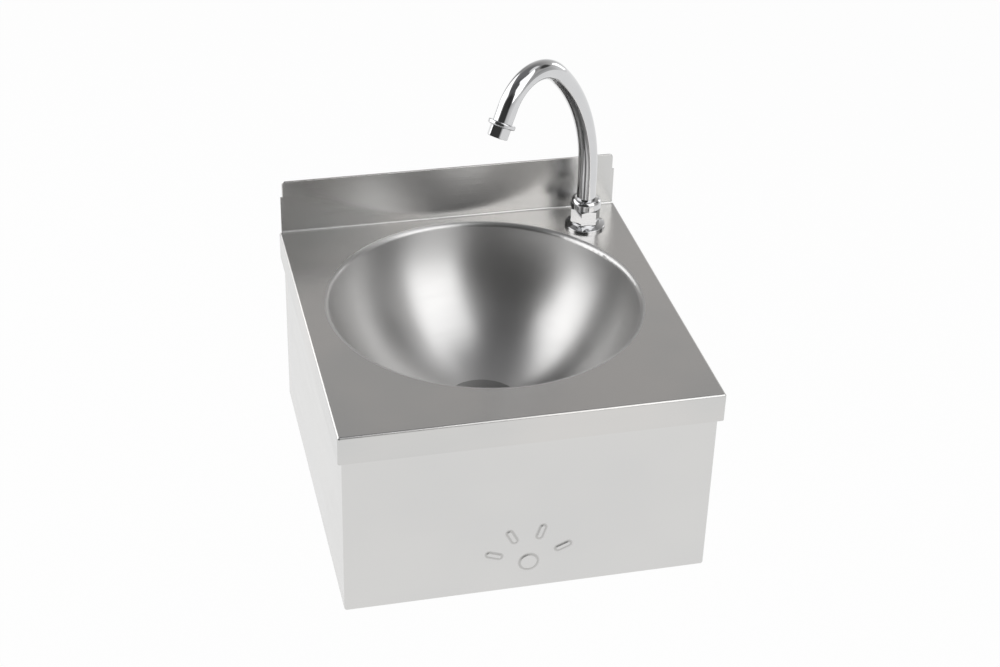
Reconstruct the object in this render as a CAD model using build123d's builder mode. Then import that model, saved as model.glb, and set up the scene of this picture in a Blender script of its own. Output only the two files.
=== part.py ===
from build123d import *
import os
from math import asin, atan2, cos, degrees, pi, radians, sin, sqrt, tan

os.makedirs("parts", exist_ok=True)

# Hand wash basin for a wall, worked by the knee: the folded skirt under the top swings in
# and presses a self-closing valve, which feeds the swan neck spout.
# X runs to the user's right, Y towards the wall, Z up. The wall is the plane Y = 0, and the
# origin is the middle of the four wall holes.

# Basin top and splash back, one folded sheet
basin_w = 400.0
wall_gap = 8.0
deck_top = 95.0
deck_t = 1.2
fold_r = 2.5
lip_h = 32.0
splash_h = 65.0
hem_h = 19.5
hem_notch = 2.0
hem_corner_r = 4.5
hem_round_share = 0.8
overrun = 20.0

# Bowl, spun from sheet and welded into the top, which is cut to leave these margins round it
bowl_side = 29.8
bowl_front = 58.3
bowl_rear = 16.3
bowl_depth_share = 0.799
rim_r = 6.0
bowl_t = 1.2
seat_r = 44.0
seat_bend_r = 6.0
seat_hole_r = 28.0

# Skirt, one sheet folded to a U, hung on two pins behind the lip
skirt_gap = 4.5
skirt_front_gap = 5.5
skirt_t = 1.2
skirt_r = 3.0
skirt_drop = 224.0
skirt_top_drop = 14.0
skirt_tail_drop = 22.0
skirt_flange = 12.0
skirt_mitre = 0.8
mitre_end = 4.5
tab_l = 24.0
tab_from_splash = 49.0
slope_from_splash = 70.0

# Push mark, pressed out of the skirt's front: a dimple under four short bars on an arc
mark_drop = 189.0
mark_h = 0.8
mark_slope = 62.0
dimple_r = 10.0
bar_l = 18.0
bar_w = 6.5
bar_ring_r = 40.0
bar_angles = (160.0, 118.0, 72.0, 23.0)

# Wall frame and the two rails that carry the top, the skirt and the valve
frame_t = 2.0
frame_rise = 40.0
frame_drop = 165.0
frame_foot = 20.0
frame_bend_r = 4.0
window_from_side = 90.0
window_half_h = 35.0
window_corner_r = 10.0
wall_hole_r = 4.25
wall_hole_from_side = 50.0
wall_hole_rise = 100.0
rail_t = 1.5
rail_from_side = 13.0
rail_h = 40.0
rail_flange = 10.0
rail_set = 42.0
rail_tab = 16.0
rail_rear_gap = 4.0
rail_bend_r = 2.5

# Skirt pivots and rest stops
pivot_set = 60.0
pivot_drop = 24.0
pin_r = 4.0
pin_collar_r = 7.0
pin_proud = 0.8
pin_tail = 8.0
pin_chamfer = 0.5
running = 0.05
side_play = 0.3
bush_wall = 2.0
bush_flange_r = 8.5
bush_flange_t = 1.5
bush_proud = 0.5
nut_af_share = 1.6
corner_slope = 30.0
pin_nut_t = 5.0
stud_from_splash = 37.0
stud_r = 3.0
sleeve_r = 6.0
rest_gap = 0.3
stud_nut_t = 4.0
sleeve_l = 6.0

# Self-closing valve, pushed along Y by the skirt
valve_share = 0.6
valve_drop = 140.0
pad_r = 15.0
pad_t = 3.0
button_r = 16.0
button_l = 14.0
button_front_t = 3.0
button_crown = 1.5
button_edge_r = 1.5
nose_r = 14.0
nose_l = 20.5
stem_r = 4.0
spring_r = 8.0
spring_wire_r = 0.7
spring_turns = 6
pocket_r = 9.5
pocket_l = 16.0
plate_set = 36.0
bracket_t = 2.5
bracket_r = 4.0
bracket_h = 50.0
bracket_top_drop = 8.0
bracket_wing = 44.0
bracket_reach = 28.0
lock_nut_t = 6.0
lock_nut_af = 36.0
barrel_r = 19.0
barrel_chamfer = 2.0
barrel_l = 46.0
chamber_r = 13.0
chamber_l = 12.0
throat_r = 9.0
throat_l = 20.0
nose_chamfer = 0.8
disc_r = 11.0
disc_t = 4.0
inlet_boss_r = 13.5
inlet_boss_l = 8.0
tail_af = 34.0
tail_t = 8.0
tail_plug_l = 8.0
outlet_l = 14.0
bolt_r = 2.5
bolt_head_r = 4.5
bolt_head_t = 3.0
bolt_nut_t = 4.0
bolt_drops = (14.0, 30.0)
bolt_from_edge = 8.0
bracket_corner_r = 6.0

# Pipe threads, drawn at their outside diameter
half_inch_r = 10.48
half_inch_bore_r = 7.0

# Inlet manifold with a non-return valve for each supply
manifold_r = 11.0
manifold_l = 72.0
manifold_gap = 3.0
manifold_bore_r = 6.0
manifold_chamfer = 1.5
branch_r = 13.5
branch_l = 3.0
branch_pitch = 40.0
check_af = 26.0
check_l = 11.0
check_tail_l = 12.0
plug_af = 14.0
plug_head_t = 5.0
plug_l = 5.0

# Hose from the valve to the tap
hose_r = 6.0
hose_bore_r = 4.0
ferrule_r = 7.4
ferrule_l = 18.0
ferrule_flange_r = 9.8
ferrule_flange_t = 2.5
hose_nut_af = 26.0
hose_nut_floor = 2.0
hose_washer_t = 1.5
thread_in = 9.0
hose_lead_share = 0.24
hose_tail_share = 0.42
hose_sweep_share = 0.4
hose_turn_up_share = 0.65

# Tap base
tap_side_share = 0.7565
tap_rear_share = 0.27
tap_flange_r = 23.3
tap_flange_t = 3.0
tap_cone_h = 2.5
tap_cone_r = 17.0
tap_hex_af = 30.0
tap_hex_h = 18.5
tap_neck_r = 15.0
tap_neck_top = 31.0
tap_hole_play = 0.3
tap_shank_l = 45.0
tap_socket_floor = 4.0
tap_shoulder_z = 27.0
tap_shoulder_r = 12.8
tap_bearing_r = 12.9
tap_edge_r = 0.8
tap_seal_r = 20.0
tap_seal_inner_r = 13.0
tap_seal_t = 1.2
collar_r = 17.6
collar_z = 25.5
collar_top = 36.8
collar_dome_r = 5.5
tap_washer_r = 20.0
tap_washer_t = 3.0
tap_disc_t = 2.0
back_nut_af = 32.0
back_nut_t = 8.0

# Swan neck spout: a riser, a long bend, a tight bend and a short straight end
spout_turn = -145.0
tube_r = 11.0
tube_t = 1.5
riser_top = 69.2
long_bend_r = 195.6
long_bend = 47.4
tight_bend_r = 51.9
tight_bend = 104.0
spout_end_l = 16.3
spout_spigot_l = 12.0
spout_bore_r = 6.5
oring_wire_r = 0.9
oring_play = 0.02
oring_places = (6.0, 13.0)
groove_w = 2.3
ring_r = 15.3
ring_t = 5.0
ring_edge_r = 1.4
ring_share = 0.5
nozzle_af = 21.0
nozzle_r = 11.7
nozzle_turn = 12.5
nozzle_l = 12.5
insert_t = 5.0
insert_set = 1.5
insert_hole_r = 0.8
insert_pitch = 2.6
insert_row_count = 5

# Waste
strainer_r = 42.5
strainer_t = 1.2
strainer_rim_h = 2.2
dish_r = 27.0
dish_h = 5.0
dish_slope = 3.4
grid_hole_r = 2.6
grid_rings = ((11.5, 6), (17.5, 12))
seal_gap = 1.5
waste_gasket_t = 3.0
waste_flange_t = 4.0
waste_cup_r = 31.0
waste_wall = 2.5
waste_cup_h = 18.0
waste_cone_h = 14.0
waste_tail_r = 23.9
waste_tail_l = 22.0
cross_w = 7.0
cross_h = 8.0
cross_boss_r = 7.0
waste_screw_r = 3.0
waste_screw_head_r = 7.0
waste_screw_head_h = 3.0
waste_screw_l = 26.0
dome_share = 0.8
slot_w = 1.4

# Places worked out from the sizes above
half_w = basin_w / 2
mouth_r = half_w - bowl_side
bowl_depth = bowl_depth_share * mouth_r
deck_d = bowl_front + 2 * mouth_r + bowl_rear
splash_y = -wall_gap
front_y = splash_y - deck_d
splash_x = half_w - fold_r
bowl_y = front_y + bowl_front + mouth_r
bowl_rise = (mouth_r**2 - seat_r**2 - bowl_depth**2) / (2 * bowl_depth)
bowl_r = sqrt(mouth_r**2 + bowl_rise**2)
rim_start_r = sqrt((bowl_r + rim_r) ** 2 - (bowl_rise + rim_r) ** 2)
seat_z = deck_top - bowl_depth
skirt_x = half_w - skirt_gap
skirt_y = front_y + skirt_front_gap
skirt_z = deck_top - skirt_drop
wing_in_x = skirt_x - skirt_t
pivot_y = front_y + pivot_set
pivot_z = deck_top - pivot_drop
under_deck = deck_top - deck_t
valve_z = deck_top - valve_drop
button_y = skirt_y + skirt_t + pad_t + side_play
plate_y = front_y + plate_set
stop_y = splash_y - stud_from_splash
stop_z = deck_top - skirt_tail_drop - skirt_t - rest_gap - sleeve_r
rail_x = half_w - rail_from_side
pin_tip_x = skirt_x + bush_proud + pin_proud
pin_tail_x = rail_x - rail_t - pin_tail
valve_x = valve_share * half_w
bracket_inner_x = valve_x - bracket_reach
tap_x = tap_side_share * half_w
tap_y = splash_y - tap_rear_share * mouth_r


def save(builder, name):
    """Label a finished piece and write it to its own file."""
    builder.part.label = name
    export_step(builder.part, "parts/" + name + ".step")


def hexagon_r(across_flats):
    """Radius over the corners of a hexagon."""
    return across_flats / sqrt(3)


def hex_blank(across_flats, bore_r, height):
    """Bored hexagon with its corners turned off at both ends, as on a nut."""
    corner_r = hexagon_r(across_flats)
    turned = (corner_r - across_flats / 2) * tan(radians(corner_slope))
    with BuildPart() as blank:
        with BuildSketch():
            RegularPolygon(corner_r, 6)
            Circle(bore_r, mode=Mode.SUBTRACT)
        extrude(amount=height)
        with BuildSketch(Plane.XZ):
            Polygon(
                (0, 0),
                (across_flats / 2, 0),
                (corner_r, turned),
                (corner_r, height - turned),
                (across_flats / 2, height),
                (0, height),
                align=None,
            )
        revolve(axis=Axis.Z, mode=Mode.INTERSECT)
    return blank.part


# Basin top with its lip and splash back
with BuildPart() as deck_hollow:
    with BuildSketch(Plane.XY.offset(deck_top - lip_h - overrun)):
        with Locations((0, (front_y + deck_t + overrun) / 2)):
            Rectangle(basin_w - 2 * deck_t, overrun - front_y - deck_t)
    extrude(amount=lip_h + overrun - deck_t)
    fillet(deck_hollow.edges().filter_by(Axis.Z).group_by(Axis.Y)[0], fold_r - deck_t)
    fillet(
        deck_hollow.edges().group_by(Axis.Z)[-1].filter_by(lambda e: e.center().Y < 0),
        fold_r - deck_t,
    )

with BuildPart() as deck:
    with BuildSketch(Plane.XY.offset(deck_top - lip_h)):
        with Locations((0, (front_y + splash_y) / 2)):
            Rectangle(basin_w, deck_d)
    extrude(amount=lip_h)
    fillet(deck.edges().filter_by(Axis.Z).group_by(Axis.Y)[0], fold_r)
    fillet(
        deck.edges().group_by(Axis.Z)[-1].filter_by(lambda e: e.center().Y < splash_y),
        fold_r,
    )
    add(deck_hollow.part, mode=Mode.SUBTRACT)
    # The sheet turns up into the splash back between the side folds
    with BuildSketch(Plane.XY.offset(deck_top - lip_h)):
        with Locations((0, splash_y)):
            Rectangle(2 * splash_x, 2 * fold_r)
    extrude(amount=lip_h, mode=Mode.SUBTRACT)
    with BuildSketch(Plane.YZ):
        with BuildLine():
            FilletPolyline(
                (splash_y - 2 * fold_r, deck_top),
                (splash_y, deck_top),
                (splash_y, deck_top + splash_h - hem_h),
                radius=fold_r,
            )
            FilletPolyline(
                (splash_y - 2 * fold_r, under_deck),
                (splash_y + deck_t, under_deck),
                (splash_y + deck_t, deck_top + splash_h - hem_h),
                radius=fold_r + deck_t,
            )
            Line((splash_y - 2 * fold_r, deck_top), (splash_y - 2 * fold_r, under_deck))
            Line(
                (splash_y, deck_top + splash_h - hem_h),
                (splash_y + deck_t, deck_top + splash_h - hem_h),
            )
        make_face()
    extrude(amount=splash_x, both=True)
    # Hem, folded flat to the back
    with BuildSketch(Plane.XZ.offset(-splash_y)):
        with Locations((0, deck_top + splash_h - hem_h / 2)):
            Rectangle(2 * (splash_x - hem_notch), hem_h)
    extrude(amount=-2 * deck_t)
    fillet(deck.edges().filter_by(Axis.Y).group_by(Axis.Z)[-1], hem_corner_r)
    fillet(
        deck.edges().filter_by(Axis.X).filter_by(lambda e: e.center().Z > deck_top + splash_h - running),
        hem_round_share * deck_t,
    )
    with BuildSketch(Plane.XY.offset(deck_top - overrun)):
        with Locations((0, bowl_y)):
            Circle(rim_start_r)
        with Locations((tap_x, tap_y)):
            Circle(half_inch_r + tap_hole_play)
    extrude(amount=2 * overrun, mode=Mode.SUBTRACT)
save(deck, "deck")

# Bowl
rim_center = (rim_start_r, -rim_r)
seat_center_r = sqrt((bowl_r - seat_bend_r) ** 2 - (bowl_depth + bowl_rise - seat_bend_r) ** 2)
seat_center = (seat_center_r, seat_bend_r - bowl_depth)
rim_angle = degrees(atan2(bowl_rise + rim_r, rim_start_r))
seat_angle = degrees(atan2(bowl_depth + bowl_rise - seat_bend_r, seat_center_r))
bowl_axis = Axis((0, bowl_y, 0), (0, 0, 1))
bowl_plane = Plane(origin=(0, bowl_y, deck_top), x_dir=(1, 0, 0), z_dir=(0, -1, 0))
with BuildPart() as bowl:
    with BuildSketch(bowl_plane):
        with BuildLine():
            for wall in (0, bowl_t):
                CenterArc(rim_center, rim_r - wall, 90, 90 - rim_angle)
                CenterArc((0, bowl_rise), bowl_r + wall, -rim_angle, rim_angle - seat_angle)
                CenterArc(seat_center, seat_bend_r + wall, -seat_angle, seat_angle - 90)
                Line((seat_center_r, -bowl_depth - wall), (seat_hole_r, -bowl_depth - wall))
            Line((rim_start_r, 0), (rim_start_r, -bowl_t))
            Line((seat_hole_r, -bowl_depth), (seat_hole_r, -bowl_depth - bowl_t))
        make_face()
    revolve(axis=bowl_axis)
save(bowl, "bowl")

# Skirt
with BuildPart() as skirt_hollow:
    with BuildSketch(Plane.XY.offset(skirt_z + skirt_t)):
        with Locations((0, (skirt_y + skirt_t + overrun) / 2)):
            Rectangle(2 * wing_in_x, overrun - skirt_y - skirt_t)
    extrude(amount=skirt_drop)
    fillet(skirt_hollow.edges().filter_by(Axis.Z).group_by(Axis.Y)[0], skirt_r - skirt_t)
    fillet(
        skirt_hollow.edges().group_by(Axis.Z)[0].filter_by(lambda e: e.center().Y < 0),
        skirt_r - skirt_t,
    )

with BuildPart() as skirt:
    with BuildSketch(Plane.XY.offset(skirt_z)):
        with Locations((0, (skirt_y + splash_y) / 2)):
            Rectangle(2 * skirt_x, splash_y - skirt_y)
    extrude(amount=skirt_drop - skirt_top_drop)
    fillet(skirt.edges().filter_by(Axis.Z).group_by(Axis.Y)[0], skirt_r)
    fillet(
        skirt.edges().group_by(Axis.Z)[0].filter_by(lambda e: e.center().Y < splash_y),
        skirt_r,
    )
    add(skirt_hollow.part, mode=Mode.SUBTRACT)
    # Open floor inside the folded bottom edge, mitred at the corners
    with BuildSketch(Plane.XY.offset(skirt_z - overrun)):
        with Locations((0, (skirt_y + skirt_flange + overrun) / 2)):
            Rectangle(2 * (skirt_x - skirt_flange), overrun - skirt_y - skirt_flange)
        for side in (-1, 1):
            mitre_in = skirt_flange + skirt_mitre
            mitre_at = (mitre_in + mitre_end) / 2
            with Locations((side * (skirt_x - mitre_at), skirt_y + mitre_at)):
                Rectangle(sqrt(2) * (mitre_in - mitre_end), skirt_mitre, rotation=-45 * side)
    extrude(amount=2 * overrun, mode=Mode.SUBTRACT)
    # The top edge of both wings falls away behind the pivots
    with BuildSketch(Plane.YZ):
        Polygon(
            (pivot_y, deck_top - skirt_top_drop),
            (splash_y - slope_from_splash, deck_top - skirt_tail_drop),
            (overrun, deck_top - skirt_tail_drop),
            (overrun, deck_top),
            (pivot_y, deck_top),
            align=None,
        )
    extrude(amount=half_w, both=True, mode=Mode.SUBTRACT)
    # Rest tabs, turned in from the wings over the stops
    tab_y = splash_y - tab_from_splash + tab_l / 2
    for side in (-1, 1):
        with BuildSketch(Plane.XY.offset(deck_top - skirt_tail_drop - skirt_t)):
            with Locations((side * (rail_x + side_play + wing_in_x) / 2, tab_y)):
                Rectangle(wing_in_x - rail_x - side_play, tab_l)
        extrude(amount=skirt_t)
    with BuildSketch(Plane.YZ):
        with Locations((pivot_y, pivot_z)):
            Circle(pin_r + bush_wall)
    extrude(amount=half_w, both=True, mode=Mode.SUBTRACT)
    # Push mark: raised on the front, hollow by as much behind
    mark_plane = Plane(origin=(0, skirt_y, deck_top - mark_drop), x_dir=(1, 0, 0), z_dir=(0, -1, 0))
    for behind, mode in ((0, Mode.ADD), (skirt_t, Mode.SUBTRACT)):
        with BuildSketch(mark_plane.offset(-behind)):
            Circle(dimple_r)
            for angle in bar_angles:
                with Locations((bar_ring_r * cos(radians(angle)), bar_ring_r * sin(radians(angle)))):
                    SlotOverall(bar_l, bar_w, rotation=angle)
        extrude(amount=mark_h, taper=mark_slope, mode=mode)
save(skirt, "skirt")

# Nylon bushes in the wings
with BuildPart() as pivot_bushes:
    for side in (-1, 1):
        bush_plane = Plane(
            origin=(side * (wing_in_x - bush_flange_t), pivot_y, pivot_z),
            x_dir=(0, 1, 0),
            z_dir=(side, 0, 0),
        )
        with BuildSketch(bush_plane):
            Circle(bush_flange_r)
            Circle(pin_r + running, mode=Mode.SUBTRACT)
        extrude(amount=bush_flange_t)
        with BuildSketch(bush_plane):
            Circle(pin_r + bush_wall)
            Circle(pin_r + running, mode=Mode.SUBTRACT)
        extrude(amount=bush_flange_t + skirt_t + bush_proud)
save(pivot_bushes, "pivot_bushes")

# Wall frame, a folded plate
frame_top = deck_top + frame_rise
frame_low = deck_top - frame_drop
with BuildPart() as wall_frame:
    with BuildSketch(Plane.YZ):
        with BuildLine():
            FilletPolyline(
                (splash_y + deck_t, frame_top),
                (0, frame_top),
                (0, frame_low),
                (-frame_foot, frame_low),
                radius=frame_bend_r,
            )
            Line((-frame_foot, frame_low), (-frame_foot, frame_low + frame_t))
            FilletPolyline(
                (-frame_foot, frame_low + frame_t),
                (-frame_t, frame_low + frame_t),
                (-frame_t, frame_top - frame_t),
                (splash_y + deck_t, frame_top - frame_t),
                radius=frame_bend_r - frame_t,
            )
            Line((splash_y + deck_t, frame_top - frame_t), (splash_y + deck_t, frame_top))
        make_face()
    extrude(amount=rail_x, both=True)
    with BuildSketch(Plane.XZ):
        with GridLocations(basin_w - 2 * wall_hole_from_side, wall_hole_rise, 2, 2):
            Circle(wall_hole_r)
        RectangleRounded(basin_w - 2 * window_from_side, 2 * window_half_h, window_corner_r)
    extrude(amount=frame_t, mode=Mode.SUBTRACT)
save(wall_frame, "wall_frame")

# Side rails under the top: a web, a flange turned out and a tab turned in at the frame
bolt_y = plate_y + bracket_wing - bolt_from_edge
for side, name in ((-1, "side_rail_left"), (1, "side_rail_right")):
    with BuildPart() as rail:
        with BuildSketch(Plane.XZ.offset(frame_t)):
            with BuildLine():
                FilletPolyline(
                    (side * (rail_x - rail_t), under_deck - rail_h),
                    (side * (rail_x - rail_t), under_deck),
                    (side * (rail_x + rail_flange), under_deck),
                    radius=rail_bend_r,
                )
                FilletPolyline(
                    (side * rail_x, under_deck - rail_h),
                    (side * rail_x, under_deck - rail_t),
                    (side * (rail_x + rail_flange), under_deck - rail_t),
                    radius=rail_bend_r - rail_t,
                )
                Line((side * (rail_x - rail_t), under_deck - rail_h), (side * rail_x, under_deck - rail_h))
                Line(
                    (side * (rail_x + rail_flange), under_deck - rail_t),
                    (side * (rail_x + rail_flange), under_deck),
                )
            make_face()
        extrude(amount=-front_y - rail_set - frame_t)
        with BuildSketch(Plane.XZ.offset(frame_t)):
            with Locations((side * (rail_x - rail_tab / 2), under_deck - rail_bend_r - rail_h / 2)):
                Rectangle(rail_tab, rail_h - 2 * rail_bend_r)
        extrude(amount=rail_t)
        # The flange stops short of the fold of the splash back
        with BuildSketch(Plane.XY.offset(under_deck - rail_bend_r)):
            with Locations((side * (rail_x + rail_flange), 0)):
                Rectangle(2 * rail_flange, 2 * (wall_gap + fold_r + rail_rear_gap))
        extrude(amount=rail_bend_r, mode=Mode.SUBTRACT)
        with BuildSketch(Plane.YZ):
            with Locations((pivot_y, pivot_z)):
                Circle(pin_r)
            with Locations((stop_y, stop_z)):
                Circle(stud_r)
            if side > 0:
                with Locations(*[(bolt_y, deck_top - drop) for drop in bolt_drops]):
                    Circle(bolt_r)
        extrude(amount=side * half_w, mode=Mode.SUBTRACT)
    save(rail, name)

# Pivot pins, each held in its rail by a nut; on the right the valve bracket is clamped too
with BuildPart() as pivot_pins:
    for side in (-1, 1):
        pin_plane = Plane(
            origin=(side * pin_tail_x, pivot_y, pivot_z), x_dir=(0, 1, 0), z_dir=(side, 0, 0)
        )
        with BuildSketch(pin_plane):
            Circle(pin_r)
        extrude(amount=pin_tip_x - pin_tail_x)
        with BuildSketch(pin_plane.offset(rail_x - pin_tail_x)):
            Circle(pin_collar_r)
        extrude(amount=wing_in_x - bush_flange_t - side_play - rail_x)
    chamfer(pivot_pins.edges().group_by(Axis.X)[0], pin_chamfer)
    chamfer(pivot_pins.edges().group_by(Axis.X)[-1], pin_chamfer)
save(pivot_pins, "pivot_pins")

pin_nut = hex_blank(2 * pin_r * nut_af_share, pin_r, pin_nut_t)
with BuildPart() as pivot_nuts:
    for side, clamp in ((-1, rail_t), (1, rail_t + bracket_t)):
        nut_plane = Plane(
            origin=(side * (rail_x - clamp - pin_nut_t), pivot_y, pivot_z),
            x_dir=(0, 1, 0),
            z_dir=(side, 0, 0),
        )
        with Locations(nut_plane):
            add(pin_nut)
save(pivot_nuts, "pivot_nuts")

# Rest stops: a stud in each rail with a rubber sleeve under the skirt's tab
with BuildPart() as stop_studs:
    for side in (-1, 1):
        stud_plane = Plane(
            origin=(side * (rail_x - rail_t - stud_nut_t - pin_chamfer), stop_y, stop_z),
            x_dir=(0, 1, 0),
            z_dir=(side, 0, 0),
        )
        with BuildSketch(stud_plane):
            Circle(stud_r)
        extrude(amount=rail_t + stud_nut_t + sleeve_l + 2 * pin_chamfer)
    chamfer(stop_studs.edges().group_by(Axis.X)[0], pin_chamfer)
    chamfer(stop_studs.edges().group_by(Axis.X)[-1], pin_chamfer)
save(stop_studs, "stop_studs")

stud_nut = hex_blank(2 * stud_r * nut_af_share, stud_r, stud_nut_t)
with BuildPart() as stop_nuts:
    for side in (-1, 1):
        nut_plane = Plane(
            origin=(side * (rail_x - rail_t - stud_nut_t), stop_y, stop_z),
            x_dir=(0, 1, 0),
            z_dir=(side, 0, 0),
        )
        with Locations(nut_plane):
            add(stud_nut)
save(stop_nuts, "stop_nuts")

with BuildPart() as stop_sleeves:
    for side in (-1, 1):
        sleeve_plane = Plane(
            origin=(side * rail_x, stop_y, stop_z), x_dir=(0, 1, 0), z_dir=(side, 0, 0)
        )
        with BuildSketch(sleeve_plane):
            Circle(sleeve_r)
            Circle(stud_r, mode=Mode.SUBTRACT)
        extrude(amount=sleeve_l)
    fillet(
        stop_sleeves.edges().filter_by(GeomType.CIRCLE).filter_by(lambda e: e.radius > stud_r),
        pin_chamfer,
    )
save(stop_sleeves, "stop_sleeves")

# Valve bracket, a plate with a wing bolted to the right rail
wing_x = rail_x - rail_t
bracket_low = valve_z - bracket_h / 2
with BuildPart() as valve_bracket:
    with BuildSketch(Plane.XY.offset(bracket_low)):
        with BuildLine():
            FilletPolyline(
                (bracket_inner_x, plate_y),
                (wing_x, plate_y),
                (wing_x, plate_y + bracket_wing),
                radius=bracket_r,
            )
            Line((wing_x, plate_y + bracket_wing), (wing_x - bracket_t, plate_y + bracket_wing))
            FilletPolyline(
                (wing_x - bracket_t, plate_y + bracket_wing),
                (wing_x - bracket_t, plate_y + bracket_t),
                (bracket_inner_x, plate_y + bracket_t),
                radius=bracket_r - bracket_t,
            )
            Line((bracket_inner_x, plate_y + bracket_t), (bracket_inner_x, plate_y))
        make_face()
    extrude(amount=deck_top - bracket_top_drop - bracket_low)
    # Above the valve only the wing carries on up to the rail
    with BuildSketch(Plane.XZ.offset(-plate_y)):
        with Locations(((bracket_inner_x + wing_x) / 2 - bracket_r, deck_top)):
            Rectangle(wing_x - bracket_inner_x, 2 * (deck_top - bracket_low - bracket_h))
        with Locations((valve_x, valve_z)):
            Circle(nose_r)
    extrude(amount=-bracket_t, mode=Mode.SUBTRACT)
    fillet(
        valve_bracket.edges().filter_by(Axis.Y).group_by(Axis.X)[0],
        bracket_corner_r,
    )
    with BuildSketch(Plane.YZ):
        with Locations((pivot_y, pivot_z)):
            Circle(pin_r)
        with Locations(*[(bolt_y, deck_top - drop) for drop in bolt_drops]):
            Circle(bolt_r)
    extrude(amount=half_w, mode=Mode.SUBTRACT)
save(valve_bracket, "valve_bracket")

with BuildPart() as bracket_bolts:
    for drop in bolt_drops:
        bolt_plane = Plane(
            origin=(wing_x - bracket_t - bolt_nut_t - pin_chamfer, bolt_y, deck_top - drop),
            x_dir=(0, 1, 0),
            z_dir=(1, 0, 0),
        )
        bolt_l = bolt_nut_t + pin_chamfer + bracket_t + rail_t
        with BuildSketch(bolt_plane):
            Circle(bolt_r)
        extrude(amount=bolt_l)
        with BuildSketch(bolt_plane.offset(bolt_l)):
            Circle(bolt_head_r)
        extrude(amount=bolt_head_t)
    fillet(bracket_bolts.edges().group_by(Axis.X)[-1], bolt_head_t / 2)
save(bracket_bolts, "bracket_bolts")

bolt_nut = hex_blank(2 * bolt_r * nut_af_share, bolt_r, bolt_nut_t)
with BuildPart() as bracket_nuts:
    for drop in bolt_drops:
        nut_plane = Plane(
            origin=(wing_x - bracket_t - bolt_nut_t, bolt_y, deck_top - drop),
            x_dir=(0, 1, 0),
            z_dir=(1, 0, 0),
        )
        with Locations(nut_plane):
            add(bolt_nut)
save(bracket_nuts, "bracket_nuts")

# Self-closing valve, seen along its own axis from the skirt
valve_plane = Plane(origin=(valve_x, plate_y, valve_z), x_dir=(1, 0, 0), z_dir=(0, 1, 0))
nose_front = -(nose_l - bracket_t)
barrel_end = bracket_t + barrel_l
throat_front = barrel_end - tail_plug_l - chamber_l - throat_l
inlet_at = throat_front + throat_l / 2
with BuildPart() as valve_body:
    with BuildSketch(valve_plane.offset(nose_front)):
        Circle(nose_r)
    extrude(amount=nose_l)
    chamfer(valve_body.edges().group_by(Axis.Y)[0], nose_chamfer)
    with BuildSketch(valve_plane.offset(bracket_t)):
        Circle(barrel_r)
    extrude(amount=barrel_l)
    chamfer(
        valve_body.edges().filter_by(GeomType.CIRCLE).filter_by(lambda e: e.radius > barrel_r - fold_r),
        barrel_chamfer,
    )
    with BuildSketch(Plane.XY.offset(valve_z - barrel_r - inlet_boss_l)):
        with Locations((valve_x, plate_y + inlet_at)):
            Circle(inlet_boss_r)
    extrude(amount=barrel_r + inlet_boss_l)
    # Spring pocket, stem bore, throat, chamber and inlet
    with BuildSketch(valve_plane.offset(nose_front)):
        Circle(pocket_r)
    extrude(amount=pocket_l, mode=Mode.SUBTRACT)
    with BuildSketch(valve_plane.offset(nose_front)):
        Circle(stem_r + running)
    extrude(amount=throat_front - nose_front + throat_l, mode=Mode.SUBTRACT)
    with BuildSketch(valve_plane.offset(throat_front)):
        Circle(throat_r)
    extrude(amount=throat_l, mode=Mode.SUBTRACT)
    with BuildSketch(valve_plane.offset(barrel_end - tail_plug_l - chamber_l)):
        Circle(chamber_r)
    extrude(amount=tail_plug_l + chamber_l, mode=Mode.SUBTRACT)
    with BuildSketch(Plane.XY.offset(valve_z - barrel_r - inlet_boss_l)):
        with Locations((valve_x, plate_y + inlet_at)):
            Circle(half_inch_r)
    extrude(amount=thread_in + running, mode=Mode.SUBTRACT)
    with BuildSketch(Plane.XY.offset(valve_z - barrel_r - inlet_boss_l)):
        with Locations((valve_x, plate_y + inlet_at)):
            Circle(half_inch_bore_r)
    extrude(amount=barrel_r + inlet_boss_l - throat_r / 2, mode=Mode.SUBTRACT)
save(valve_body, "valve_body")

with BuildPart() as valve_tail:
    with BuildSketch(valve_plane.offset(barrel_end - tail_plug_l)):
        Circle(chamber_r)
    extrude(amount=tail_plug_l)
    with BuildSketch(valve_plane.offset(barrel_end)):
        RegularPolygon(hexagon_r(tail_af), 6)
    extrude(amount=tail_t)
    with BuildSketch(valve_plane.offset(barrel_end + tail_t)):
        Circle(half_inch_r)
    extrude(amount=outlet_l)
    chamfer(valve_tail.edges().group_by(Axis.Y)[-1], pin_chamfer)
    with BuildSketch(valve_plane.offset(barrel_end - tail_plug_l)):
        Circle(half_inch_bore_r)
    extrude(amount=tail_plug_l + tail_t + outlet_l, mode=Mode.SUBTRACT)
save(valve_tail, "valve_tail")

nose_nut = hex_blank(lock_nut_af, nose_r, lock_nut_t)
with BuildPart() as valve_lock_nut:
    with Locations(valve_plane.offset(-lock_nut_t)):
        add(nose_nut)
save(valve_lock_nut, "valve_lock_nut")

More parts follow.
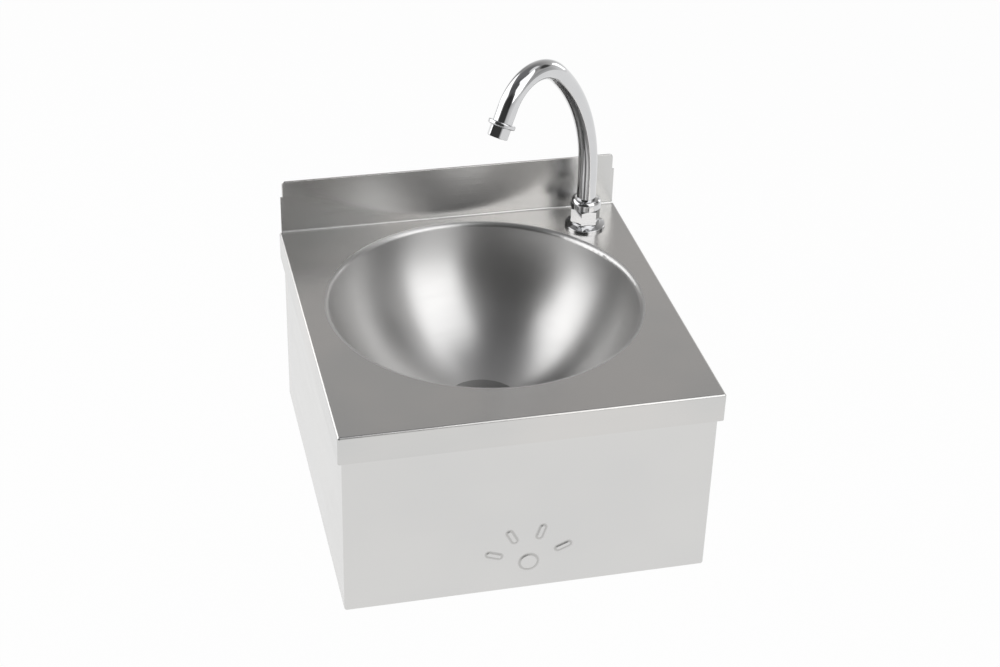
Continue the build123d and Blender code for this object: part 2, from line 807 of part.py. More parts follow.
# Push button over the nose of the valve, its stem and the disc that opens the chamber
button_front = button_y - plate_y
crown_r = (button_r**2 + button_crown**2) / (2 * button_crown)
with BuildPart() as push_button:
    with BuildSketch(Plane(origin=valve_plane.origin, x_dir=(1, 0, 0), z_dir=(0, 0, 1))):
        with BuildLine():
            CenterArc((0, button_front + crown_r), crown_r, -90, degrees(asin(button_r / crown_r)))
            Polyline(
                (button_r, button_front + button_crown),
                (button_r, button_front + button_l),
                (nose_r + running, button_front + button_l),
                (nose_r + running, button_front + button_front_t),
                (0, button_front + button_front_t),
                (0, button_front),
            )
        make_face()
    revolve(axis=Axis((valve_x, 0, valve_z), (0, 1, 0)))
    fillet(
        push_button.edges().filter_by(GeomType.CIRCLE).filter_by(
            lambda e: abs(e.radius - button_r) < running and e.center().Y < button_y + 2 * button_crown
        ),
        button_edge_r,
    )
save(push_button, "push_button")

stem_front = button_front + button_front_t
seat_at = throat_front + throat_l + side_play
with BuildPart() as valve_stem:
    with BuildSketch(valve_plane.offset(stem_front)):
        Circle(stem_r)
    extrude(amount=seat_at + disc_t + pin_proud - stem_front)
    chamfer(valve_stem.edges().group_by(Axis.Y)[-1], pin_chamfer)
save(valve_stem, "valve_stem")

with BuildPart() as valve_disc:
    with BuildSketch(valve_plane.offset(seat_at)):
        Circle(disc_r)
        Circle(stem_r, mode=Mode.SUBTRACT)
    extrude(amount=disc_t)
    chamfer(
        valve_disc.edges().group_by(Axis.Y)[-1].filter_by(lambda e: e.radius > stem_r),
        pin_chamfer,
    )
save(valve_disc, "valve_disc")

# Return spring between the pocket's floor and the button
spring_l = nose_front + pocket_l - stem_front
spring_pitch = (spring_l - 2 * spring_wire_r) / spring_turns
with BuildPart() as return_spring:
    with BuildLine() as spring_line:
        Helix(
            pitch=spring_pitch,
            height=spring_l - 2 * spring_wire_r,
            radius=spring_r - spring_wire_r,
            center=(valve_x, plate_y + stem_front + spring_wire_r, valve_z),
            direction=(0, 1, 0),
        )
    with BuildSketch(Plane(origin=spring_line.line @ 0, z_dir=spring_line.line % 0)):
        Circle(spring_wire_r)
    sweep(path=spring_line.line, is_frenet=True)
save(return_spring, "return_spring")

with BuildPart() as push_pad:
    with BuildSketch(valve_plane.offset(skirt_y + skirt_t - plate_y)):
        Circle(pad_r)
    extrude(amount=pad_t)
    chamfer(push_pad.edges().group_by(Axis.Y)[-1], pin_chamfer)
save(push_pad, "push_pad")

# Inlet manifold under the valve, with a boss for each supply
inlet_y = plate_y + inlet_at
boss_low = valve_z - barrel_r - inlet_boss_l
manifold_z = boss_low - manifold_gap - manifold_r
branch_low = manifold_z - manifold_r - branch_l
manifold_end = valve_x - manifold_l / 2
with BuildPart() as inlet_manifold:
    with BuildSketch(Plane(origin=(manifold_end, inlet_y, manifold_z), z_dir=(1, 0, 0))):
        Circle(manifold_r)
    extrude(amount=manifold_l)
    chamfer(inlet_manifold.edges().group_by(Axis.X)[0], manifold_chamfer)
    chamfer(inlet_manifold.edges().group_by(Axis.X)[-1], manifold_chamfer)
    with BuildSketch(Plane.XY.offset(manifold_z)):
        with Locations((valve_x, inlet_y)):
            Circle(half_inch_r)
    extrude(amount=boss_low + thread_in - manifold_z)
    with BuildSketch(Plane.XY.offset(branch_low)):
        with Locations((valve_x, inlet_y)):
            with GridLocations(branch_pitch, branch_pitch, 2, 1):
                Circle(branch_r)
    extrude(amount=manifold_z - branch_low)
    with BuildSketch(Plane(origin=(manifold_end, inlet_y, manifold_z), z_dir=(1, 0, 0))):
        Circle(manifold_bore_r)
    extrude(amount=manifold_l - manifold_r / 2, mode=Mode.SUBTRACT)
    with BuildSketch(Plane.XY.offset(manifold_z)):
        with Locations((valve_x, inlet_y)):
            Circle(half_inch_bore_r)
    extrude(amount=boss_low + thread_in - manifold_z, mode=Mode.SUBTRACT)
    with BuildSketch(Plane.XY.offset(branch_low)):
        with Locations((valve_x, inlet_y)):
            with GridLocations(branch_pitch, branch_pitch, 2, 1):
                Circle(half_inch_r)
    extrude(amount=thread_in, mode=Mode.SUBTRACT)
    with BuildSketch(Plane.XY.offset(branch_low)):
        with Locations((valve_x, inlet_y)):
            with GridLocations(branch_pitch, branch_pitch, 2, 1):
                Circle(half_inch_bore_r)
    extrude(amount=manifold_z - branch_low, mode=Mode.SUBTRACT)
save(inlet_manifold, "inlet_manifold")

with BuildPart() as manifold_plug:
    with BuildSketch(Plane(origin=(manifold_end - plug_head_t, inlet_y, manifold_z), z_dir=(1, 0, 0))):
        RegularPolygon(hexagon_r(plug_af), 6)
    extrude(amount=plug_head_t)
    with BuildSketch(Plane(origin=(manifold_end, inlet_y, manifold_z), z_dir=(1, 0, 0))):
        Circle(manifold_bore_r)
    extrude(amount=plug_l)
save(manifold_plug, "manifold_plug")

# Non-return valves, one for hot and one for cold
check_hex = hex_blank(check_af, half_inch_bore_r, check_l)
with BuildPart() as check_valves:
    for side in (-1, 1):
        check_x = valve_x + side * branch_pitch / 2
        with BuildSketch(Plane.XY.offset(branch_low)):
            with Locations((check_x, inlet_y)):
                Circle(half_inch_r)
        extrude(amount=thread_in - pin_chamfer)
        with Locations((check_x, inlet_y, branch_low - check_l)):
            add(check_hex)
        with BuildSketch(Plane.XY.offset(branch_low - check_l - check_tail_l)):
            with Locations((check_x, inlet_y)):
                Circle(half_inch_r)
        extrude(amount=check_tail_l)
    chamfer(check_valves.edges().group_by(Axis.Z)[0], pin_chamfer)
    for side in (-1, 1):
        with BuildSketch(Plane.XY.offset(branch_low - check_l - check_tail_l)):
            with Locations((valve_x + side * branch_pitch / 2, inlet_y)):
                Circle(half_inch_bore_r)
        extrude(amount=thread_in + check_l + check_tail_l, mode=Mode.SUBTRACT)
save(check_valves, "check_valves")

# Braided hose from the valve to the tap, with the same nut, sleeve and washer at each end
hose_from = (valve_x, plate_y + barrel_end + tail_t + outlet_l, valve_z)
hose_to = (tap_x, tap_y, deck_top - tap_shank_l)
hose_ends = (
    Plane(origin=hose_from, x_dir=(1, 0, 0), z_dir=(0, 1, 0)),
    Plane(origin=hose_to, x_dir=(1, 0, 0), z_dir=(0, 0, -1)),
)
with BuildPart() as hose_washers:
    for end_plane in hose_ends:
        with BuildSketch(end_plane):
            Circle(half_inch_r - running)
            Circle(half_inch_bore_r, mode=Mode.SUBTRACT)
        extrude(amount=hose_washer_t)
save(hose_washers, "hose_washers")

with BuildPart() as hose_ferrules:
    for end_plane in hose_ends:
        with BuildSketch(end_plane.offset(hose_washer_t)):
            Circle(ferrule_flange_r)
            Circle(hose_r, mode=Mode.SUBTRACT)
        extrude(amount=ferrule_flange_t)
        with BuildSketch(end_plane.offset(hose_washer_t)):
            Circle(ferrule_r)
            Circle(hose_r, mode=Mode.SUBTRACT)
        extrude(amount=ferrule_flange_t + hose_nut_floor + ferrule_l)
save(hose_ferrules, "hose_ferrules")

hose_cavity = thread_in + hose_washer_t + ferrule_flange_t
hose_nut = hex_blank(hose_nut_af, ferrule_r, hose_cavity + hose_nut_floor)
with BuildPart() as hose_nuts:
    for end_plane in hose_ends:
        with Locations(end_plane.offset(-thread_in)):
            add(hose_nut)
        with BuildSketch(end_plane.offset(-thread_in)):
            Circle(half_inch_r)
        extrude(amount=hose_cavity, mode=Mode.SUBTRACT)
save(hose_nuts, "hose_nuts")

hose_span = hose_to[1] - hose_from[1]
hose_rise = hose_to[2] - hose_from[2]
hose_bends = (
    hose_sweep_share * hose_span,
    hose_sweep_share * hose_span,
    hose_turn_up_share * hose_rise,
)
with BuildPart() as supply_hose:
    with BuildLine() as hose_line:
        FilletPolyline(
            (hose_from[0], hose_from[1] + hose_washer_t, hose_from[2]),
            (hose_from[0], hose_from[1] + hose_lead_share * hose_span, hose_from[2]),
            (hose_to[0], hose_to[1] - hose_tail_share * hose_span, hose_from[2]),
            (hose_to[0], hose_to[1], hose_from[2]),
            (hose_to[0], hose_to[1], hose_to[2] - hose_washer_t),
            radius=hose_bends,
        )
    with BuildSketch(Plane(origin=hose_line.line @ 0, z_dir=hose_line.line % 0)):
        Circle(hose_r)
        Circle(hose_bore_r, mode=Mode.SUBTRACT)
    sweep(path=hose_line.line)
hose_l = sum(edge.length for edge in hose_line.edges())
hose_share = supply_hose.part.volume / (pi * (hose_r**2 - hose_bore_r**2) * hose_l)
print("hose length", round(hose_l), "volume against section times length", round(hose_share, 3))
save(supply_hose, "supply_hose")

# Tap base: flange, hexagon, neck and threaded shank, bored for the swivelling spout
tap_section = Plane(origin=(tap_x, tap_y, deck_top), x_dir=(1, 0, 0), z_dir=(0, -1, 0))
tap_axis = Axis((tap_x, tap_y, 0), (0, 0, 1))
hex_low = tap_flange_t + tap_cone_h
tap_hex = hex_blank(tap_hex_af, tube_r + running, tap_hex_h)
with BuildPart() as tap_body:
    with BuildSketch(tap_section):
        Polygon(
            (half_inch_bore_r, -tap_shank_l),
            (half_inch_r, -tap_shank_l),
            (half_inch_r, 0),
            (tap_seal_inner_r, 0),
            (tap_seal_inner_r, tap_seal_t),
            (tap_seal_r, tap_seal_t),
            (tap_seal_r, 0),
            (tap_flange_r, 0),
            (tap_flange_r, tap_flange_t),
            (tap_cone_r, hex_low),
            (tap_neck_r, hex_low),
            (tap_neck_r, tap_neck_top),
            (tap_bearing_r, tap_neck_top),
            (tap_bearing_r, tap_shoulder_z),
            (tube_r + running, tap_shoulder_z),
            (tube_r + running, tap_socket_floor),
            (half_inch_bore_r, tap_socket_floor),
            align=None,
        )
    revolve(axis=tap_axis)
    with Locations((tap_x, tap_y, deck_top + hex_low)):
        add(tap_hex)
    fillet(
        tap_body.edges().filter_by(GeomType.CIRCLE).filter_by(
            lambda e: abs(e.radius - tap_flange_r) < running and e.center().Z > deck_top + running
        ),
        tap_edge_r,
    )
    chamfer(tap_body.edges().group_by(Axis.Z)[0].sort_by(SortBy.RADIUS)[-1], pin_chamfer)
save(tap_body, "tap_body")

with BuildPart() as tap_base_seal:
    with BuildSketch(Plane.XY.offset(deck_top)):
        with Locations((tap_x, tap_y)):
            Circle(tap_seal_r)
            Circle(tap_seal_inner_r, mode=Mode.SUBTRACT)
    extrude(amount=tap_seal_t)
save(tap_base_seal, "tap_base_seal")

collar_roof_z = tap_neck_top + side_play
with BuildPart() as tap_collar:
    with BuildSketch(tap_section):
        Polygon(
            (tap_neck_r, collar_z),
            (collar_r, collar_z),
            (collar_r, collar_top),
            (tube_r + running, collar_top),
            (tube_r + running, collar_roof_z),
            (tap_neck_r, collar_roof_z),
            align=None,
        )
    revolve(axis=tap_axis)
    fillet(
        tap_collar.edges().group_by(Axis.Z)[-1].filter_by(lambda e: e.radius > tap_neck_r),
        collar_dome_r,
    )
    chamfer(
        tap_collar.edges().group_by(Axis.Z)[0].filter_by(lambda e: e.radius > tap_neck_r + running),
        pin_chamfer,
    )
save(tap_collar, "tap_collar")

# Under the top: rubber washer, steel washer and back nut
with BuildPart() as tap_rubber_washer:
    with BuildSketch(Plane.XY.offset(under_deck - tap_washer_t)):
        with Locations((tap_x, tap_y)):
            Circle(tap_washer_r)
            Circle(half_inch_r, mode=Mode.SUBTRACT)
    extrude(amount=tap_washer_t)
save(tap_rubber_washer, "tap_rubber_washer")

disc_z = under_deck - tap_washer_t - tap_disc_t
with BuildPart() as tap_steel_washer:
    with BuildSketch(Plane.XY.offset(disc_z)):
        with Locations((tap_x, tap_y)):
            Circle(tap_washer_r)
            Circle(half_inch_r, mode=Mode.SUBTRACT)
    extrude(amount=tap_disc_t)
    chamfer(
        tap_steel_washer.edges().group_by(Axis.Z)[0].filter_by(lambda e: e.radius > half_inch_r),
        pin_chamfer,
    )
save(tap_steel_washer, "tap_steel_washer")

back_nut = hex_blank(back_nut_af, half_inch_r, back_nut_t)
with BuildPart() as tap_back_nut:
    with Locations((tap_x, tap_y, disc_z - back_nut_t)):
        add(back_nut)
save(tap_back_nut, "tap_back_nut")

# Turned end of the spout: two seal grooves, the shoulder held by the collar, a brazed spigot
plug_low = tap_socket_floor + side_play
shoulder_low = tap_shoulder_z + side_play
groove_r = tube_r + running - oring_play - 2 * oring_wire_r
with BuildPart() as spout_plug:
    with BuildSketch(tap_section):
        Polygon(
            (spout_bore_r, plug_low),
            (tube_r, plug_low),
            (tube_r, shoulder_low),
            (tap_shoulder_r, shoulder_low),
            (tap_shoulder_r, tap_neck_top),
            (tube_r - tube_t, tap_neck_top),
            (tube_r - tube_t, tap_neck_top + spout_spigot_l),
            (spout_bore_r, tap_neck_top + spout_spigot_l),
            align=None,
        )
        with Locations(*[((groove_r + tube_r) / 2, plug_low + place) for place in oring_places]):
            Rectangle(tube_r - groove_r, groove_w, mode=Mode.SUBTRACT)
    revolve(axis=tap_axis)
    chamfer(
        spout_plug.edges().group_by(Axis.Z)[0].filter_by(lambda e: e.radius > spout_bore_r + running),
        pin_chamfer,
    )
save(spout_plug, "spout_plug")

with BuildPart() as spout_orings:
    with BuildSketch(tap_section):
        with Locations(*[(groove_r + oring_wire_r, plug_low + place) for place in oring_places]):
            Circle(oring_wire_r)
    revolve(axis=tap_axis)
save(spout_orings, "spout_orings")

# Swan neck, in the upright plane that the spout points along
turn = radians(spout_turn)
heading = Vector(cos(turn), sin(turn), 0)
spout_plane = Plane(
    origin=(tap_x, tap_y, deck_top), x_dir=heading, z_dir=(sin(turn), -cos(turn), 0)
)
bend_at = degrees(pi) - long_bend
tight_x = long_bend_r + (long_bend_r - tight_bend_r) * cos(radians(bend_at))
tight_z = riser_top + (long_bend_r - tight_bend_r) * sin(radians(bend_at))
end_at = bend_at - tight_bend
end_x = tight_x + tight_bend_r * cos(radians(end_at))
end_z = tight_z + tight_bend_r * sin(radians(end_at))
end_dx = sin(radians(end_at))
end_dz = -cos(radians(end_at))
tube_end_l = spout_end_l + ring_share * ring_t
with BuildPart() as spout_tube:
    with BuildLine(spout_plane) as spout_line:
        Line((0, tap_neck_top), (0, riser_top))
        CenterArc((long_bend_r, riser_top), long_bend_r, 180, -long_bend)
        CenterArc((tight_x, tight_z), tight_bend_r, bend_at, -tight_bend)
        Line((end_x, end_z), (end_x + tube_end_l * end_dx, end_z + tube_end_l * end_dz))
    with BuildSketch(Plane(origin=spout_line.line @ 0, z_dir=spout_line.line % 0)):
        Circle(tube_r)
        Circle(tube_r - tube_t, mode=Mode.SUBTRACT)
    sweep(path=spout_line.line)
save(spout_tube, "spout_tube")

end_dir = heading * end_dx + Vector(0, 0, end_dz)
end_across = heading * -end_dz + Vector(0, 0, end_dx)
end_point = Vector(tap_x, tap_y, deck_top) + heading * end_x + Vector(0, 0, end_z)
ring_plane = Plane(origin=end_point + end_dir * spout_end_l, x_dir=end_across, z_dir=end_dir)
with BuildPart() as spout_ring:
    with BuildSketch(ring_plane):
        Circle(ring_r)
    extrude(amount=ring_t)
    fillet(spout_ring.edges(), ring_edge_r)
    with BuildSketch(ring_plane):
        Circle(tube_r)
    extrude(amount=ring_t, mode=Mode.SUBTRACT)
save(spout_ring, "spout_ring")

# Outlet nozzle: a neck in the ring and a hexagon with rounded corners around the insert
nozzle_plane = ring_plane.offset(ring_t)
nozzle_hex = hex_blank(nozzle_af, tube_r - tube_t, nozzle_l)
with BuildPart() as outlet_nozzle:
    with Locations(nozzle_plane * Location((0, 0, 0), (0, 0, nozzle_turn))):
        add(nozzle_hex)
    with BuildSketch(nozzle_plane):
        Circle(nozzle_r)
    extrude(amount=nozzle_l, mode=Mode.INTERSECT)
    with BuildSketch(ring_plane.offset(ring_share * ring_t)):
        Circle(tube_r)
        Circle(tube_r - tube_t, mode=Mode.SUBTRACT)
    extrude(amount=ring_t - ring_share * ring_t)
save(outlet_nozzle, "outlet_nozzle")

with BuildPart() as outlet_insert:
    with BuildSketch(nozzle_plane.offset(nozzle_l - insert_set - insert_t)):
        Circle(tube_r - tube_t)
        with HexLocations(insert_pitch / 2, insert_row_count, insert_row_count):
            Circle(insert_hole_r, mode=Mode.SUBTRACT)
    extrude(amount=insert_t)
save(outlet_insert, "outlet_insert")

# Waste strainer, pressed with a sunk grid
rim_top = strainer_rim_h - bowl_depth
dish_top = rim_top - dish_h
dish_floor_r = dish_r - strainer_t - dish_slope
with BuildPart() as waste_strainer:
    with BuildSketch(bowl_plane):
        Polygon(
            (0, dish_top),
            (dish_floor_r, dish_top),
            (dish_r - strainer_t, rim_top),
            (strainer_r, rim_top),
            (strainer_r, -bowl_depth),
            (strainer_r - strainer_t, -bowl_depth),
            (strainer_r - strainer_t, rim_top - strainer_t),
            (dish_r, rim_top - strainer_t),
            (dish_floor_r + strainer_t, dish_top - strainer_t),
            (0, dish_top - strainer_t),
            align=None,
        )
    revolve(axis=bowl_axis)
    fillet(
        waste_strainer.edges().group_by(Axis.Z)[-1].filter_by(lambda e: e.radius > dish_r),
        strainer_t,
    )
    with BuildSketch(Plane.XY.offset(deck_top + dish_top)):
        with Locations((0, bowl_y)):
            Circle(waste_screw_r)
            for ring_radius, holes in grid_rings:
                with PolarLocations(ring_radius, holes):
                    Circle(grid_hole_r)
    extrude(amount=-strainer_t, mode=Mode.SUBTRACT)
save(waste_strainer, "waste_strainer")

with BuildPart() as waste_upper_seal:
    with BuildSketch(Plane.XY.offset(seat_z)):
        with Locations((0, bowl_y)):
            Circle(strainer_r - strainer_t - side_play)
            Circle(seat_hole_r + seal_gap, mode=Mode.SUBTRACT)
    extrude(amount=strainer_rim_h - strainer_t)
save(waste_upper_seal, "waste_upper_seal")

seat_low = -bowl_depth - bowl_t
with BuildPart() as waste_lower_seal:
    with BuildSketch(Plane.XY.offset(deck_top + seat_low - waste_gasket_t)):
        with Locations((0, bowl_y)):
            Circle(strainer_r)
            Circle(seat_hole_r + seal_gap, mode=Mode.SUBTRACT)
    extrude(amount=waste_gasket_t)
save(waste_lower_seal, "waste_lower_seal")

waste_top = seat_low - waste_gasket_t
cup_low = waste_top - waste_flange_t - waste_cup_h
cone_low = cup_low - waste_cone_h
tail_low = cone_low - waste_tail_l
with BuildPart() as waste_body:
    with BuildSketch(bowl_plane):
        Polygon(
            (waste_cup_r, waste_top - waste_flange_t),
            (waste_cup_r, cup_low),
            (waste_tail_r, cone_low),
            (waste_tail_r, tail_low),
            (waste_tail_r - waste_wall, tail_low),
            (waste_tail_r - waste_wall, cone_low),
            (waste_cup_r - waste_wall, cup_low),
            (waste_cup_r - waste_wall, waste_top),
            (strainer_r, waste_top),
            (strainer_r, waste_top - waste_flange_t),
            align=None,
        )
    revolve(axis=bowl_axis)
    fillet(
        waste_body.edges().filter_by(GeomType.CIRCLE).filter_by(
            lambda e: abs(e.radius - waste_cup_r) < running and e.center().Z > deck_top + cup_low + running
        ),
        waste_wall,
    )
    fillet(
        waste_body.edges().filter_by(GeomType.CIRCLE).filter_by(lambda e: e.radius > strainer_r - running),
        pin_chamfer,
    )
    with BuildSketch(Plane.XY.offset(deck_top + cup_low)):
        with Locations((0, bowl_y)):
            Rectangle(2 * waste_cup_r - waste_wall, cross_w)
            Rectangle(cross_w, 2 * waste_cup_r - waste_wall)
            Circle(cross_boss_r)
            Circle(waste_screw_r, mode=Mode.SUBTRACT)
    extrude(amount=cross_h)
save(waste_body, "waste_body")

with BuildPart() as waste_screw:
    with BuildSketch(Plane.XY.offset(deck_top + dish_top - waste_screw_l)):
        with Locations((0, bowl_y)):
            Circle(waste_screw_r)
    extrude(amount=waste_screw_l)
    with BuildSketch(Plane.XY.offset(deck_top + dish_top)):
        with Locations((0, bowl_y)):
            Circle(waste_screw_head_r)
    extrude(amount=waste_screw_head_h)
    fillet(waste_screw.edges().group_by(Axis.Z)[-1], waste_screw_head_h * dome_share)
    chamfer(waste_screw.edges().group_by(Axis.Z)[0], pin_chamfer)
    with BuildSketch(Plane.XY.offset(deck_top + dish_top + waste_screw_head_h)):
        with Locations((0, bowl_y)):
            Rectangle(2 * waste_screw_head_r, slot_w)
    extrude(amount=-slot_w, mode=Mode.SUBTRACT)
save(waste_screw, "waste_screw")
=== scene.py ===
from math import cos, pi, radians, sin

import bpy
from mathutils import Matrix, Vector


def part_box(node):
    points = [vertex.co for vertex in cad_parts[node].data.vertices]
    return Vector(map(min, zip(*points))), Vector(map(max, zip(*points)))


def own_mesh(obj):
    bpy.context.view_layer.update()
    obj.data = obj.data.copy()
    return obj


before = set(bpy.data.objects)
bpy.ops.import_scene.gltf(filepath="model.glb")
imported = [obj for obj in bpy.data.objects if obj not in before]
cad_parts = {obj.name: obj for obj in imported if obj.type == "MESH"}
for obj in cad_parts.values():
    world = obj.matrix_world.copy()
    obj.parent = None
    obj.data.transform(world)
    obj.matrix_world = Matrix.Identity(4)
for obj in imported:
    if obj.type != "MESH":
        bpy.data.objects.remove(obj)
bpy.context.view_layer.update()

# The camera stands to the left of the basin and above it and looks down into the bowl, through
# the long lens of a product photograph.
right = Vector((0.97301, -0.22925, 0.02647))
down = Vector((-0.10112, -0.52662, -0.84407))
ahead = Vector((0.20744, 0.81861, -0.53559))
stand = Vector((-0.42145, -1.92815, 1.18227))
film_width_mm = 36
lens_mm = 68.89
camera_data = bpy.data.cameras.new("catalogue_camera")
camera_data.sensor_width = film_width_mm
camera_data.lens = lens_mm
camera = bpy.data.objects.new("catalogue_camera", camera_data)
camera_turn = Matrix((right, -down, -ahead)).transposed()
camera.matrix_world = Matrix.Translation(stand) @ camera_turn.to_4x4()
bpy.context.scene.collection.objects.link(camera)
bpy.context.scene.camera = camera
bpy.context.scene.view_settings.view_transform = "Standard"


# The studio is a white room: its air is bright near the floor and greyer overhead. Dim patches,
# the largest at the front left, and two glowing ones at the right give the polished pieces and
# the bowl their streaks.
class Shade:
    """A socket in a node tree; sums written with it add the Math nodes that work them out."""

    def __init__(self, tree, socket=None):
        self.tree = tree
        self.socket = socket

    def node(self, kind, settings=None, sockets=None, out=0):
        """Any node: its settings, the values or links of its sockets, and the output that is meant."""
        made = self.tree.nodes.new(kind)
        for key, value in (settings or {}).items():
            if key == "stops":
                elements = made.color_ramp.elements
                for _ in value[2:]:
                    elements.new(1)
                for element, (at, colour) in zip(elements, value):
                    element.position = at
                    element.color = (*colour, 1)
            else:
                setattr(made, key, value)
        for key, value in (sockets or {}).items():
            if isinstance(value, Shade):
                self.tree.links.new(value.socket, made.inputs[key])
            else:
                made.inputs[key].default_value = value
        return Shade(self.tree, made.outputs[out])

    def maths(self, operation, *values):
        """A Math node on these values."""
        return self.node("ShaderNodeMath", {"operation": operation}, dict(enumerate(values)))

    def __add__(self, other):
        return self.maths("ADD", self, other)

    def __radd__(self, other):
        return self.maths("ADD", other, self)

    def __sub__(self, other):
        return self.maths("SUBTRACT", self, other)

    def __rsub__(self, other):
        return self.maths("SUBTRACT", other, self)

    def __mul__(self, other):
        return self.maths("MULTIPLY", self, other)

    def __rmul__(self, other):
        return self.maths("MULTIPLY", other, self)

    def __truediv__(self, other):
        return self.maths("DIVIDE", self, other)

    def __rtruediv__(self, other):
        return self.maths("DIVIDE", other, self)

    def step(self, low, high):
        """0 up to low, 1 from high on, and smooth between."""
        smooth = {"interpolation_type": "SMOOTHSTEP"}
        ends = {"Value": self, "From Min": low, "From Max": high}
        return self.node("ShaderNodeMapRange", smooth, ends)

    def out(self, name):
        """Another output of the same node."""
        return Shade(self.tree, self.socket.node.outputs[name])


# A Mix node has sockets for each kind of value under the same names, so the colour ones go by number.
mix_first, mix_second, mix_out = 6, 7, 2


def tint(factor, first, second):
    """A colour between two, by a factor from 0 to 1. The first may be a shade."""
    first = first if isinstance(first, Shade) else (*first, 1)
    sockets = {"Factor": factor, mix_first: first, mix_second: (*second, 1)}
    return factor.node("ShaderNodeMix", {"data_type": "RGBA"}, sockets, mix_out)


def towards(azimuth, elevation):
    """Unit vector: degrees from the wall's side round to the right, and degrees above level."""
    a, e = radians(azimuth), radians(elevation)
    return Vector((sin(a) * cos(e), cos(a) * cos(e), sin(e)))


# The air's tones run from straight down at 0, over level at 0.5, to straight up at 1.
air_tones = (
    (0.00, (0.85, 0.85, 0.85)),
    (0.50, (0.85, 0.85, 0.85)),
    (0.60, (0.66, 0.66, 0.66)),
    (0.75, (0.50, 0.492, 0.484)),
    (0.93, (0.21, 0.21, 0.215)),
)
room = bpy.data.worlds.new("studio_room")
room.use_nodes = True
bpy.context.scene.world = room
air = Shade(room.node_tree)
way = air.node("ShaderNodeTexCoord", out="Generated")
height = way.node("ShaderNodeSeparateXYZ", sockets={"Vector": way}, out="Z")
tone = air.node("ShaderNodeValToRGB", {"stops": air_tones}, {"Fac": height * 0.5 + 0.5})

# Each patch: azimuth, elevation, the angle out to which it is full and the one at which it ends,
# the share of the air that it covers, and its own level.
dim = 0.02
patches = (
    (-146, 14, 28, 44, 0.88, dim),
    (-140, 48, 28, 44, 0.45, dim),
    (105, 3, 8, 26, 0.40, dim),
    (-14, 16, 6, 24, 0.40, dim),
    (181, 26, 8, 16, 0.75, dim),
    (163, 26, 2, 8, 0.70, 0.9),
    (84, 30, 6, 14, 0.90, dim),
    (78, 59, 7, 16, 0.90, 1.1),
)
for azimuth, elevation, core, reach, share, level in patches:
    sight = {0: way, 1: towards(azimuth, elevation)}
    near = way.node("ShaderNodeVectorMath", {"operation": "DOT_PRODUCT"}, sight, "Value")
    patch = near.step(cos(radians(reach)), cos(radians(core))) * share
    tone = tint(patch, tone, (level, level, level))
seen = air.node("ShaderNodeLightPath", out="Is Camera Ray")
tone = tint(seen, tone, (1, 1, 1))
air.tree.links.new(tone.socket, room.node_tree.nodes["Background"].inputs["Color"])

bowl_middle = Vector((0, -0.19, 0.08))
lamp_distance = 2.2


def soft_box(name, azimuth, elevation, width, tall, radiance, roll=0):
    """A rectangular soft box that faces the bowl from the way that is given, rolled on its stand."""
    facing = towards(azimuth, elevation)
    data = bpy.data.lights.new(name, "AREA")
    data.shape = "RECTANGLE"
    data.size = width
    data.size_y = tall
    data.energy = radiance * pi * width * tall
    lamp = bpy.data.objects.new(name, data)
    lamp_turn = facing.to_track_quat("Z", "Y").to_matrix() @ Matrix.Rotation(radians(roll), 3, "Z")
    lamp.matrix_world = Matrix.Translation(bowl_middle + facing * lamp_distance) @ lamp_turn.to_4x4()
    bpy.context.scene.collection.objects.link(lamp)


soft_box("soft_box_right", 139, 46, width=1.7, tall=2.4, radiance=1.45, roll=-18)
soft_box("soft_box_left", -60, 31, width=2.9, tall=1.9, radiance=1.5, roll=8)
soft_box("soft_box_far_right", 61, 14, width=0.6, tall=0.9, radiance=1.3)


# The floor is white paper far below the basin. The camera and the metal see it at full white, and
# a little of its own shading is left, so that it keeps a faint shadow. From below it is clear, so
# that the basin shows from underneath too.
def finish(name, colour, metallic, roughness):
    """A new material, its shader and a shade to start from, with the shader's constants set."""
    made = bpy.data.materials.new(name)
    made.use_nodes = True
    shader = made.node_tree.nodes["Principled BSDF"]
    shader.inputs["Base Color"].default_value = (*colour, 1)
    shader.inputs["Metallic"].default_value = metallic
    shader.inputs["Roughness"].default_value = roughness
    return made, shader, Shade(made.node_tree)


floor_z = -0.62
floor_size = 14
plain_share = 0.97
bpy.ops.object.select_all(action="DESELECT")
bpy.ops.mesh.primitive_plane_add(size=floor_size, location=(0, 0, floor_z))
floor = bpy.context.object
floor.name = "studio_floor"
paper, paper_shader, start = finish("paper_white", (0.9, 0.9, 0.9), metallic=0.0, roughness=0.9)
lit = Shade(start.tree, paper_shader.outputs[0])
glow = start.node("ShaderNodeEmission", sockets={"Strength": 1.0})
path = start.node("ShaderNodeLightPath")
seen = path.out("Is Camera Ray") * plain_share
mirrored = path.out("Is Glossy Ray") + path.out("Is Transmission Ray")
above = start.node("ShaderNodeMixShader", sockets={0: seen + mirrored, 1: lit, 2: glow})
below = start.node("ShaderNodeNewGeometry", out="Backfacing")
clear = start.node("ShaderNodeBsdfTransparent")
either = start.node("ShaderNodeMixShader", sockets={0: below, 1: above, 2: clear})
start.tree.links.new(either.socket, paper.node_tree.nodes["Material Output"].inputs["Surface"])
floor.data.materials.append(paper)


# Basin top and valve bracket: stainless sheet, ground with a fine straight grain before it was
# folded. The grain runs along X on the top and the fronts, and along Y on the sides.
def link(shader, **shades):
    """Link shades to the shader's sockets, named with underscores for spaces."""
    for key, value in shades.items():
        value.tree.links.new(value.socket, shader.inputs[key.replace("_", " ")])


def dress(material, *nodes):
    """Give CAD nodes this finish."""
    for name in nodes:
        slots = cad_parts[name].data.materials
        slots.clear()
        slots.append(material)


def noise(vector, scale, detail=2.0, roughness=0.5):
    """Noise from 0 to 1 at the given features per metre."""
    sockets = {"Vector": vector, "Scale": scale, "Detail": detail, "Roughness": roughness}
    return vector.node("ShaderNodeTexNoise", sockets=sockets)


